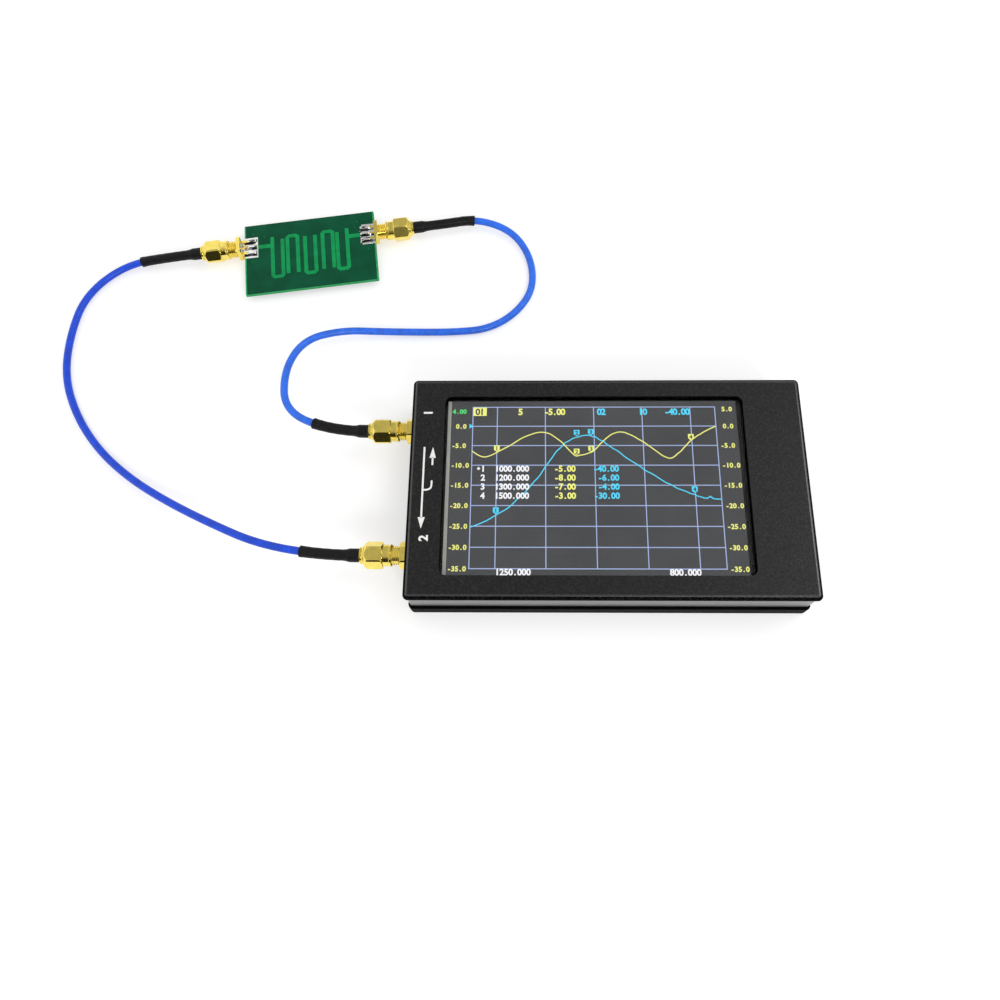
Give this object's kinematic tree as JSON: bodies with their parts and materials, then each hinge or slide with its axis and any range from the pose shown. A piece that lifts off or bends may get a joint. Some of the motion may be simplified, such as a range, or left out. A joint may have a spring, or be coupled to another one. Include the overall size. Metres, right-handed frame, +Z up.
{
  "type": "antenna analyzer",
  "caption": "Slim handheld antenna analyzer with a landscape colour screen, gold coax ports on one end, and coax test leads joined to a small hairpin filter board.",
  "frame": {"origin": "centre of the case's footprint, on the surface that the case lies on", "axes": "+Z up through the screen, +X along the case's long side away from the coax ports, +Y across towards the wall with the controls"},
  "size_m": [0.2642, 0.1563, 0.022],
  "materials": {
    "case_paint": "fine textured matt black paint",
    "gold": "bright gold plate",
    "pin_gold": "gold plate",
    "insulator": "white fluoropolymer",
    "blue_jacket": "smooth blue cable jacket",
    "black_sleeve": "heat-shrink tube",
    "filter_mask": "green solder mask",
    "trace_mask": "solder mask over copper",
    "solder": "bright tin",
    "screen_glass": "clear cover glass",
    "screen": "lit liquid crystal panel",
    "steel": "tinned steel sheet",
    "black_screw": "black oxide",
    "black_plastic": "moulded black",
    "lever_plastic": "moulded black, fine grain",
    "foam": "closed foam tape",
    "board_mask": "dark solder mask",
    "chip": "moulded package",
    "cell_foil": "pouch foil",
    "wire_jacket": "wire insulation",
    "ribbon": "amber film",
    "white_plastic": "moulded natural nylon",
    "brass": "bare brass",
    "light_pipe": "clear acrylic"
  },
  "bodies": {
    "case": {"top_shell": "case_paint", "bottom_cover": "case_paint", "cover_screws": "black_screw", "display_gasket": "foam", "touch_panel": "screen_glass", "display_frame": "steel", "display_panel": "screen", "main_board": "board_mask", "board_standoffs": "brass", "board_screws": "steel", "board_shields": "steel", "board_chips": "chip", "battery_pad": "foam", "battery_cell": "cell_foil", "battery_connector": "white_plastic", "battery_wires": "wire_jacket", "ribbon_socket": "white_plastic", "display_ribbon": "ribbon", "port_1_jack": "gold", "port_2_jack": "gold", "port_jack_insulators": "insulator", "port_jack_contacts": "pin_gold", "port_washers": "gold", "port_nuts": "gold", "usb_c_shell": "steel", "usb_c_tongue": "black_plastic", "status_light_pipe": "light_pipe", "power_switch_body": "black_plastic", "jog_switch_body": "black_plastic", "coax_lead_1": "blue_jacket", "coax_lead_2": "blue_jacket", "port_1_sleeve": "black_sleeve", "port_2_sleeve": "black_sleeve", "filter_left_sleeve": "black_sleeve", "filter_right_sleeve": "black_sleeve", "port_1_plug_body": "gold", "port_2_plug_body": "gold", "filter_left_plug_body": "gold", "filter_right_plug_body": "gold", "plug_pins": "pin_gold", "plug_insulators": "insulator", "nut_spring_rings": "steel", "filter_board": "filter_mask", "filter_traces": "trace_mask", "filter_left_jack": "gold", "filter_right_jack": "gold", "filter_jack_insulators": "insulator", "filter_jack_contacts": "pin_gold", "solder_joints": "solder"},
    "power_knob": {"power_knob": "lever_plastic"},
    "jog_plunger": {"jog_plunger": "black_plastic"},
    "jog_lever": {"jog_lever": "lever_plastic"},
    "port_1_nut": {"port_1_coupling_nut": "gold"},
    "port_2_nut": {"port_2_coupling_nut": "gold"},
    "filter_left_nut": {"filter_left_coupling_nut": "gold"},
    "filter_right_nut": {"filter_right_coupling_nut": "gold"}
  },
  "joints": [
    {"name": "power_slide", "type": "slide", "parent": "case", "child": "power_knob", "axis": [1, 0, 0], "range_m": [0, 0.0025]},
    {"name": "jog_press", "type": "slide", "parent": "case", "child": "jog_plunger", "axis": [0, -1, 0], "range_m": [0, 0.0006], "stiffness_N_per_m": 2500},
    {"name": "jog_rock", "type": "hinge", "parent": "jog_plunger", "child": "jog_lever", "pos_m": [0.03, 0.0319, 0.0104], "axis": [0, 0, 1], "range_deg": [-10, 10], "stiffness_Nm_per_rad": 0.03},
    {"name": "port_1_nut_turn", "type": "hinge", "parent": "case", "child": "port_1_nut", "pos_m": [-0.0745, 0.0217, 0.014], "axis": [-1, 0, 0], "continuous": true},
    {"name": "port_2_nut_turn", "type": "hinge", "parent": "case", "child": "port_2_nut", "pos_m": [-0.0745, -0.0217, 0.014], "axis": [-1, 0, 0], "continuous": true},
    {"name": "filter_left_nut_turn", "type": "hinge", "parent": "case", "child": "filter_left_nut", "pos_m": [-0.14598, 0.10038, 0.0048], "axis": [-0.9907, -0.1357, 0], "continuous": true},
    {"name": "filter_right_nut_turn", "type": "hinge", "parent": "case", "child": "filter_right_nut", "pos_m": [-0.07662, 0.10988, 0.0048], "axis": [0.9907, 0.1357, 0], "continuous": true}
  ]
}
